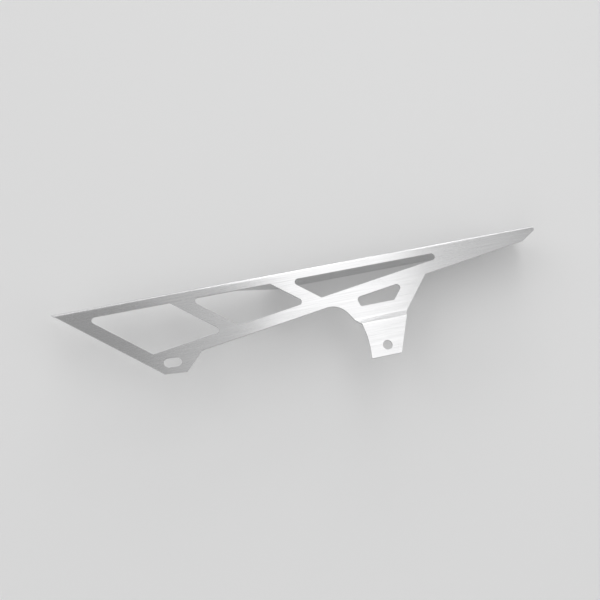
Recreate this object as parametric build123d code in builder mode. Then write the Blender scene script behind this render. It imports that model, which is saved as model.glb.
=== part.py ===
from build123d import *
import os
from math import atan2, cos, degrees, radians, sin, tan

# Motorcycle chain guard, cut and folded from one sheet, in millimetres. X runs along the top edge
# towards the tail, Y runs up the side plate towards the top edge and Z points out of the outer
# face. The origin is the rear bolt hole, on the back of its tab.

# Sheet
sheet_thickness = 2.0
bend_radius = 2.0  # inside of every fold

# Bolt points
bolt_clearance = 8.4  # diameter of the rear hole and width of the front slot
slot_length = 15.0  # overall
slot_x = -179.6  # front slot, seen from the rear bolt
slot_y = 24.0
slot_angle = -5.0

# Side plate
guard_top = 85.0  # top face above the rear bolt
rear_reach = 165.0  # tail end behind the rear bolt
front_edge_angle = 40.0  # front edge and ribs against the top edge
tail_height = 13.5  # where the lower edge ends
tail_end_angle = 31.0
tail_nose = 5.4  # height of the blunt end
tail_nose_radius = 2.0
outline_corner = 1.0

# Webs and windows
top_web = 9.3  # from the top face down to the windows
web = 10.0  # front web, ribs, lower web and sill
window_length = 72.0  # along the top, first and second window
narrow_corner = 3.2  # radius in the narrow window corners
wide_corner = 1.0  # radius in the wide window corners

# Front lug around the slot
slot_drop = 1.6  # from the line of the lower edge down to the slot's centre
lug_front_margin = 11.9  # from the slot's centre to each edge of the lug
lug_end_margin = 9.2
lug_rear_margin = 14.6
lug_rear_angle = 45.0

# Rear bracket with its small window
bracket_front_web = 12.6  # on either side of the small window
bracket_rear_web = 13.7
bracket_front_angle = 60.0
bracket_rear = 52.6  # where its rear edge leaves the lower edge, behind the rear bolt
bracket_rear_angle = 48.8
notch_radius = 16.7
small_window_height = 10.6  # above the rear bolt
small_window_lean = 77.0
small_window_corner = 2.0  # radius at the front end of its sill

# Stepped tab
step_depth = 7.0  # the tab stands this far out of the side plate
step_angle = 45.0
tab_front = 16.4  # tab edges, seen from the rear bolt
tab_rear = 10.2
tab_end = 8.9
tab_rear_angle = 66.8
tab_root_radius = 4.0
tab_hollow = 1.4  # its front edge curves in by this much

# Top flange, folded inwards over the chain
front_flange = 22.0  # width from the outer face
rear_flange = 41.0
flange_step_x = -116.0  # where the flange starts to widen
flange_step_length = 43.0
flange_step_radius = 12.0
flange_front_cut = 45.0
flange_front_radius = 3.0
flange_rear_radius = 10.0


def meet(point_a, angle_a, point_b, angle_b):
    """Where the line through point_a at angle_a crosses the line through point_b at angle_b."""
    a = radians(angle_a)
    b = radians(angle_b)
    across = (point_b[0] - point_a[0]) * sin(b) - (point_b[1] - point_a[1]) * cos(b)
    run = across / sin(b - a)
    return (point_a[0] + run * cos(a), point_a[1] + run * sin(a))


def beside(point, angle, distance):
    """The point at this distance to the right of a line that runs through point at this angle."""
    a = radians(angle)
    return (point[0] + distance * sin(a), point[1] - distance * cos(a))


# Levels across the sheet
outer_face = sheet_thickness - step_depth
back_face = outer_face - sheet_thickness
plate_middle = outer_face - sheet_thickness / 2
tab_middle = sheet_thickness / 2
top_middle = guard_top - sheet_thickness / 2
middle_radius = bend_radius + sheet_thickness / 2
spare = 2 * sheet_thickness  # the folded blank is this much larger than its outlines

# The lower edge runs from just above the slot to the tail
nose = (rear_reach, guard_top - tail_nose)
tail_heel = meet(nose, tail_end_angle, (0, guard_top - tail_height), 0)
slot_centre = (slot_x, slot_y)
lower_edge = (slot_x, slot_y + slot_drop)
lower_angle = degrees(atan2(tail_heel[1] - lower_edge[1], tail_heel[0] - lower_edge[0]))

# Front tip and lug, set out from the slot
front_edge = beside(slot_centre, -front_edge_angle, lug_front_margin)
lug_end = beside(slot_centre, slot_angle, lug_end_margin)
lug_rear = beside(slot_centre, lug_rear_angle, lug_rear_margin)
front_tip = meet(front_edge, -front_edge_angle, (0, guard_top), 0)
lug_front_corner = meet(front_edge, -front_edge_angle, lug_end, slot_angle)
lug_rear_corner = meet(lug_end, slot_angle, lug_rear, lug_rear_angle)
lug_root = meet(lug_rear, lug_rear_angle, lower_edge, lower_angle)

# Step between the small window's sill and the tab
sill = meet(lower_edge, lower_angle, (0, 0), 90)[1] - small_window_height
step_upper_corner = sill - web - middle_radius * tan(radians(step_angle / 2))
step_lower_corner = step_upper_corner - step_depth / tan(radians(step_angle))
step_bottom = step_lower_corner - middle_radius * tan(radians(step_angle / 2))

# Bracket and tab
tab_root = (-tab_front, step_bottom + bend_radius)
tab_hollow_start = (-tab_front, step_bottom)
notch_corner = meet(tab_root, -bracket_front_angle, lower_edge, lower_angle)
tab_front_end = (-tab_front, -tab_end)
tab_rear_end = (tab_rear, -tab_end)
bracket_root = meet(lower_edge, lower_angle, (bracket_rear, 0), 90)
bracket_heel = meet(tab_rear_end, tab_rear_angle, bracket_root, bracket_rear_angle)

# Windows
window_top = guard_top - top_web
window_bottom = beside(lower_edge, lower_angle, -web)
window_front = beside(front_edge, -front_edge_angle, -web)
window_x = meet(window_front, -front_edge_angle, (0, window_top), 0)[0]
window_pitch = window_length + web / sin(radians(front_edge_angle))
small_window_front = beside(tab_root, -bracket_front_angle, -bracket_front_web)
small_window_rear = beside(bracket_heel, bracket_rear_angle, -bracket_rear_web)

# Flange, seen from above
front_level = outer_face - front_flange
rear_level = outer_face - rear_flange
flange_front = front_tip[0] + (back_face - front_level) * tan(radians(flange_front_cut))
flange_step_end = flange_step_x + flange_step_length

# The step is folded only behind this section, between the lug and the bracket
section_x = (lug_root[0] + notch_corner[0]) / 2

with BuildPart() as chain_guard:
    # Front length of the sheet: side plate and top flange
    with BuildSketch(Plane.YZ.offset(front_tip[0] - spare)):
        with BuildLine():
            FilletPolyline(
                (min(lug_front_corner[1], lug_rear_corner[1]) - spare, plate_middle),
                (top_middle, plate_middle),
                (top_middle, rear_level - spare),
                radius=middle_radius,
            )
        trace(line_width=sheet_thickness)
    extrude(amount=section_x - front_tip[0] + spare)

    # Rear length: the same fold, and the step out to the tab
    with BuildSketch(Plane.YZ.offset(section_x)):
        with BuildLine():
            FilletPolyline(
                (-tab_end - spare, tab_middle),
                (step_lower_corner, tab_middle),
                (step_upper_corner, plate_middle),
                (top_middle, plate_middle),
                (top_middle, rear_level - spare),
                radius=middle_radius,
            )
        trace(line_width=sheet_thickness)
    extrude(amount=rear_reach - section_x + spare)

    # Outline of the plate, the lug, the bracket and the tail
    with BuildSketch() as outline:
        with BuildLine():
            FilletPolyline(
                front_tip,
                lug_front_corner,
                lug_rear_corner,
                lug_root,
                notch_corner,
                tab_root,
                tab_front_end,
                tab_rear_end,
                bracket_heel,
                bracket_root,
                tail_heel,
                nose,
                (rear_reach, guard_top),
                radius=[
                    0,
                    outline_corner,
                    outline_corner,
                    outline_corner,
                    notch_radius,
                    tab_root_radius,
                    0,
                    outline_corner,
                    outline_corner,
                    outline_corner,
                    outline_corner,
                    tail_nose_radius,
                    0,
                ],
                close=True,
            )
        make_face()
        with BuildLine():
            SagittaArc(tab_hollow_start, tab_front_end, tab_hollow)
            Line(tab_front_end, tab_hollow_start)
        make_face(mode=Mode.SUBTRACT)
        fillet(outline.vertices().sort_by_distance(tab_front_end)[0], outline_corner)
    extrude(amount=rear_flange + step_depth, both=True, mode=Mode.INTERSECT)

    # Outline of the flange, which widens over the rear sprocket
    with BuildSketch(Plane.XZ):
        with BuildLine():
            FilletPolyline(
                (front_tip[0], spare),
                (front_tip[0], back_face),
                (flange_front, front_level),
                (flange_step_x, front_level),
                (flange_step_end, rear_level),
                (rear_reach, rear_level),
                (rear_reach, spare),
                radius=[
                    0,
                    0,
                    flange_front_radius,
                    flange_step_radius,
                    flange_step_radius,
                    flange_rear_radius,
                    0,
                ],
                close=True,
            )
        make_face()
    extrude(amount=guard_top + tab_end, both=True, mode=Mode.INTERSECT)

    with BuildSketch() as cut_outs:
        # First and second window, between parallel ribs
        for index in range(2):
            front_corner = (window_x + index * window_pitch, window_top)
            rear_corner = (front_corner[0] + window_length, window_top)
            with BuildLine():
                FilletPolyline(
                    front_corner,
                    meet(front_corner, -front_edge_angle, window_bottom, lower_angle),
                    meet(rear_corner, -front_edge_angle, window_bottom, lower_angle),
                    rear_corner,
                    radius=[narrow_corner, wide_corner, narrow_corner, wide_corner],
                    close=True,
                )
            make_face()

        # Third window, tapering to the tail
        front_corner = (window_x + 2 * window_pitch, window_top)
        with BuildLine():
            FilletPolyline(
                front_corner,
                meet(front_corner, -front_edge_angle, window_bottom, lower_angle),
                meet(front_corner, 0, window_bottom, lower_angle),
                radius=[narrow_corner, wide_corner, narrow_corner],
                close=True,
            )
        make_face()

        # Small window in the bracket, its top in line with the lower edge
        sill_front = meet(small_window_front, -bracket_front_angle, (0, sill), 0)
        with BuildLine():
            FilletPolyline(
                sill_front,
                meet(small_window_rear, bracket_rear_angle, (0, sill), 0),
                meet(small_window_rear, bracket_rear_angle, lower_edge, lower_angle),
                meet(sill_front, -small_window_lean, lower_edge, lower_angle),
                radius=[small_window_corner, wide_corner, narrow_corner, narrow_corner],
                close=True,
            )
        make_face()

        # Slot for the front bolt
        with Locations(slot_centre):
            SlotOverall(slot_length, bolt_clearance, rotation=slot_angle)
    extrude(amount=step_depth + spare, both=True, mode=Mode.SUBTRACT)

    # Hole for the rear bolt
    with Locations((0, 0, sheet_thickness)):
        Hole(bolt_clearance / 2)

chain_guard.part.label = "chain_guard"

os.makedirs("parts", exist_ok=True)
export_step(chain_guard.part, "parts/chain_guard.step")
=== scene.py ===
"""Motorcycle chain guard in brushed aluminium sheet, seen from its outer face on a plain pale floor."""

from math import cos, pi, sin

import bpy
from mathutils import Matrix, Vector


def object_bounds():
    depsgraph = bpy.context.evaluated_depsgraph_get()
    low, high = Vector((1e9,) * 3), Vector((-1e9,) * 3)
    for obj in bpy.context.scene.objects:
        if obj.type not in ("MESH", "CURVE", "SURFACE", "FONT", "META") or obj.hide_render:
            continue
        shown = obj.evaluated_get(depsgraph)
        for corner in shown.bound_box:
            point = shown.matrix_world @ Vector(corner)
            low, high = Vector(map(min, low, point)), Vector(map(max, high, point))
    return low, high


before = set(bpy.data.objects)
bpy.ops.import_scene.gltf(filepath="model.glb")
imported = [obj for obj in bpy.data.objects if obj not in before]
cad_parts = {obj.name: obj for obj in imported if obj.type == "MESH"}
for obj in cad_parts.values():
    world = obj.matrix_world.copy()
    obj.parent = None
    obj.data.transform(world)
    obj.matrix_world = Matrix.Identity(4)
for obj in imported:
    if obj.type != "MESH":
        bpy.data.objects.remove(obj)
cad_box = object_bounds()
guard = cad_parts["chain_guard"]
scene = bpy.context.scene
scene.view_settings.view_transform = "Standard"

# Sheet, in metres
edge_width = 0.00025  # how far the cut edges are broken
fold_level = cad_box[1].y - 0.005  # the plate is flat below this
flange_level = cad_box[1].z - 0.014  # the flange is flat behind this
level_blur = 0.0005  # half of the way over which a finish changes there

# Brushed finish: streak lengths along X, Y and Z in metres, colours, and what the cut faces add
fine_streaks = (0.045, 0.00045, 0.00045)
broad_streaks = (0.160, 0.0022, 0.0022)
cloud_size = (0.045, 0.045, 0.045)
cut_streaks = (0.00035, 0.00035, 0.012)
fine_share = 0.75
dark_grain = (0.69, 0.69, 0.695, 1)
bright_grain = (0.78, 0.78, 0.785, 1)
# The cut faces' darker colour is partly the sheared metal and partly painted shade that outlines the edges
cut_colour_and_painted_shade = (0.58, 0.58, 0.585, 1)
cut_roughness = 0.2

# Floor and surroundings
floor_colour = (0.83, 0.83, 0.83, 1)
floor_reach = 4.0
floor_sides = 96
wall_tone = 0.80
ceiling_tone = 0.36
wall_top = 0.05  # heights in the surroundings, from 0 at the horizon to 1 overhead
ceiling_edge = 0.7

# Overhead lamps, which lie side by side along X: name, start, end and brightness
overhead_y = 0.42
overhead_height = 1.2
overhead_length = 1.3
overhead = (
    ("strip", 0.09, 0.45, 1.03),
    ("left_wing", -0.17, 0.09, 0.24),
    ("right_wing", 0.45, 0.80, 0.34),
)

# Panels round the object
back_distance = 4.30
back_height = 1.15
back_panel_height = 1.25
back_target = (0.0, 0.05, 0.0)
middle = (-0.05, 0.05, 0.0)

# Camera where the photograph was taken from
sensor_width = 36.0
lens = 54.0
camera_place = (-0.2040, -0.1716, 0.7232)
camera_back = (-0.182, -0.2934, 0.9385)
camera_up = (0.1864, 0.9268, 0.3259)


def add(tree, kind, inputs=None, **settings):
    """A shader node with its properties set and its inputs set or linked by name or number."""
    node = tree.nodes.new(kind)
    for key, value in settings.items():
        setattr(node, key, value)
    for key, value in (inputs or {}).items():
        if isinstance(value, bpy.types.NodeSocket):
            tree.links.new(value, node.inputs[key])
        else:
            node.inputs[key].default_value = value
    return node


def new_material(name):
    """A material with an empty node tree."""
    material = bpy.data.materials.new(name)
    material.use_nodes = True
    material.node_tree.nodes.clear()
    return material, material.node_tree


def streaks(tree, place, lengths):
    """Noise drawn out to these lengths along X, Y and Z, in metres."""
    stretch = add(
        tree,
        "ShaderNodeVectorMath",
        {0: place, 1: tuple(1 / length for length in lengths)},
        operation="MULTIPLY",
    )
    return add(
        tree,
        "ShaderNodeTexNoise",
        {"Vector": stretch.outputs[0], "Scale": 1.0, "Detail": 3.0, "Roughness": 0.6},
    ).outputs["Fac"]


def span(tree, value, low, high, start, end):
    """Carries a value from low..high to start..end, held at the ends."""
    return add(
        tree,
        "ShaderNodeMapRange",
        {"Value": value, "From Min": low, "From Max": high, "To Min": start, "To Max": end},
    ).outputs["Result"]


def below(tree, value, level):
    """1 under this level and 0 over it, with a soft change between."""
    return span(tree, value, level - level_blur, level + level_blur, 1.0, 0.0)


def join(tree, operation, a, b):
    """Two numbers put together by a maths operation."""
    return add(tree, "ShaderNodeMath", {0: a, 1: b}, operation=operation).outputs[0]


def blend(tree, kind, share, start, end):
    """From start to end by share, for numbers (FLOAT) or colours (RGBA)."""
    first, last, result = {"FLOAT": (2, 3, 0), "RGBA": (6, 7, 2)}[kind]
    mix = add(tree, "ShaderNodeMix", {0: share, first: start, last: end}, data_type=kind)
    return mix.outputs[result]


def cut_faces(tree, surface):
    """1 on the faces left by cutting the sheet and 0 on its rolled faces, told apart by where they face."""
    facing = add(tree, "ShaderNodeSeparateXYZ", {0: surface.outputs["Normal"]}).outputs
    place = add(tree, "ShaderNodeSeparateXYZ", {0: surface.outputs["Object"]}).outputs
    upright = span(tree, join(tree, "ABSOLUTE", facing["Z"], 0.0), 0.35, 0.45, 1.0, 0.0)
    ends = span(tree, join(tree, "ABSOLUTE", facing["X"], 0.0), 0.25, 0.35, 0.0, 1.0)
    inward = span(tree, facing["Z"], -0.6, -0.5, 1.0, 0.0)
    plate_edges = join(tree, "MINIMUM", upright, below(tree, place["Y"], fold_level))
    flange_edges = join(tree, "MINIMUM", inward, below(tree, place["Z"], flange_level))
    return join(tree, "MAXIMUM", join(tree, "MAXIMUM", plate_edges, flange_edges), ends)


def brushed_sheet():
    """Aluminium sheet, brushed along its length, with duller cut faces; their darker colour is partly the
    sheared metal and partly painted shade that outlines the edges.
    """
    material, tree = new_material("brushed_sheet")
    surface = add(tree, "ShaderNodeTexCoord")
    place = surface.outputs["Object"]
    cut = cut_faces(tree, surface)

    fine = streaks(tree, place, fine_streaks)
    broad = streaks(tree, place, broad_streaks)
    cloud = streaks(tree, place, cloud_size)
    cut_marks = streaks(tree, place, cut_streaks)
    grain = join(
        tree,
        "ADD",
        join(tree, "MULTIPLY", fine, fine_share),
        join(tree, "MULTIPLY", broad, 1 - fine_share),
    )
    texture = blend(tree, "FLOAT", cut, grain, cut_marks)

    brightness = span(tree, grain, 0.35, 0.65, 0.0, 1.0)
    brushed = blend(tree, "RGBA", brightness, dark_grain, bright_grain)
    # The cut faces take the darker colour: partly the sheared metal, partly painted shade outlining the
    # edges
    tone = blend(tree, "RGBA", cut, brushed, cut_colour_and_painted_shade)
    dulling = join(
        tree,
        "ADD",
        span(tree, grain, 0.3, 0.7, 0.28, 0.22),
        span(tree, cloud, 0.3, 0.7, -0.02, 0.03),
    )
    relief = add(
        tree,
        "ShaderNodeBump",
        {"Height": texture, "Strength": 0.05, "Distance": 0.0004},
    ).outputs["Normal"]
    # The brushing runs a little off X, so that faces square to X have a direction too
    direction = add(tree, "ShaderNodeCombineXYZ", {"X": 1.0, "Y": 0.01, "Z": 0.01}).outputs[0]
    shader = add(
        tree,
        "ShaderNodeBsdfPrincipled",
        {
            "Base Color": tone,
            "Metallic": 1.0,
            "Roughness": join(tree, "ADD", dulling, join(tree, "MULTIPLY", cut, cut_roughness)),
            "Anisotropic": 0.9,
            "Anisotropic Rotation": 0.25,
            "Normal": relief,
            "Tangent": direction,
        },
    )
    add(tree, "ShaderNodeOutputMaterial", {"Surface": shader.outputs[0]})
    return material


def pale_floor():
    """A plain matt floor."""
    material, tree = new_material("pale_floor")
    shader = add(tree, "ShaderNodeBsdfPrincipled", {"Base Color": floor_colour, "Roughness": 0.9})
    add(tree, "ShaderNodeOutputMaterial", {"Surface": shader.outputs[0]})
    return material


def softbox(name, place, target, size, brightness):
    """A rectangular area light at place, facing target, in metres. A brightness of 1 mirrors as white."""
    lamp = bpy.data.lights.new(name, "AREA")
    lamp.shape = "RECTANGLE"
    lamp.size, lamp.size_y = size
    lamp.energy = brightness * pi * lamp.size * lamp.size_y
    light = bpy.data.objects.new(name, lamp)
    light.location = place
    light.rotation_mode = "QUATERNION"
    light.rotation_quaternion = (Vector(target) - Vector(place)).to_track_quat("-Z", "Y")
    scene.collection.objects.link(light)


def back_panel(name, x, width, brightness):
    """A softbox in the low row behind the object, which shows in the fold and in the step."""
    place = (x, back_distance, back_height)
    softbox(name, place, back_target, (width, back_panel_height), brightness)


# Sheet: its seams are welded and its coplanar facets joined, so that the edges can be broken evenly
guard.data.materials.clear()
guard.data.materials.append(brushed_sheet())
seams = guard.modifiers.new("close_seams", "WELD")
seams.merge_threshold = 0.000002
flat = guard.modifiers.new("join_flats", "DECIMATE")
flat.decimate_type = "DISSOLVE"
flat.angle_limit = 0.01
edge = guard.modifiers.new("broken_edges", "BEVEL")
edge.width = edge_width
edge.segments = 2
edge.limit_method = "ANGLE"
edge.angle_limit = 0.7
shading = guard.modifiers.new("flat_shading", "WEIGHTED_NORMAL")
shading.weight = 100
shading.keep_sharp = True

# Floor under the flange's free edge
floor_level = cad_box[0].z
floor_mesh = bpy.data.meshes.new("floor")
turns = [2 * pi * side / floor_sides for side in range(floor_sides)]
rim = [(floor_reach * cos(turn), floor_reach * sin(turn), floor_level) for turn in turns]
floor_mesh.from_pydata(rim, [], [range(floor_sides)])
floor = bpy.data.objects.new("floor", floor_mesh)
scene.collection.objects.link(floor)
floor.data.materials.append(pale_floor())

# Surroundings: a pale studio wall all round that darkens towards a grey ceiling
world = bpy.data.worlds.new("surroundings")
world.use_nodes = True
sky = world.node_tree
outlook = add(sky, "ShaderNodeTexCoord").outputs["Generated"]
height = add(sky, "ShaderNodeSeparateXYZ", {0: outlook}).outputs["Z"]
sky_tone = span(sky, height, wall_top, ceiling_edge, wall_tone, ceiling_tone)
sky.links.new(sky_tone, sky.nodes["Background"].inputs["Color"])
scene.world = world

# Overhead, a bright strip with dimmer wings runs across the length, mirrored in the middle of the plate
for name, start, end, brightness in overhead:
    centre = (start + end) / 2
    place = (centre, overhead_y, overhead_height)
    softbox(name, place, (centre, overhead_y, 0.0), (end - start, overhead_length), brightness)

# Panels behind the object and on both sides of it
back_panel("back_panel", 0.75, 1.0, 2.75)
back_panel("right_back_panel", 1.66, 0.38, 2.2)
back_panel("far_right_panel", 2.25, 0.85, 1.7)
softbox("high_back_panel", (1.05, 3.30, 2.75), back_target, (1.3, 1.5), 1.15)
back_panel("far_left_panel", -0.9, 2.3, 1.0)
softbox("left_front_panel", (-3.0, -2.0, 3.5), middle, (4.5, 4.5), 0.75)
softbox("left_back_panel", (-3.3, 2.1, 3.1), middle, (4.0, 4.0), 0.8)
softbox("right_panel", (4.0, -1.4, 2.7), middle, (3.6, 3.6), 0.8)

# Camera
camera = bpy.data.objects.new("camera", bpy.data.cameras.new("camera"))
camera.data.sensor_width = sensor_width
camera.data.lens = lens
back = Vector(camera_back).normalized()
right = Vector(camera_up).cross(back).normalized()
up = back.cross(right)
turn_to_view = Matrix((right, up, back)).transposed().to_4x4()
camera.matrix_world = Matrix.Translation(camera_place) @ turn_to_view
scene.collection.objects.link(camera)
scene.camera = camera
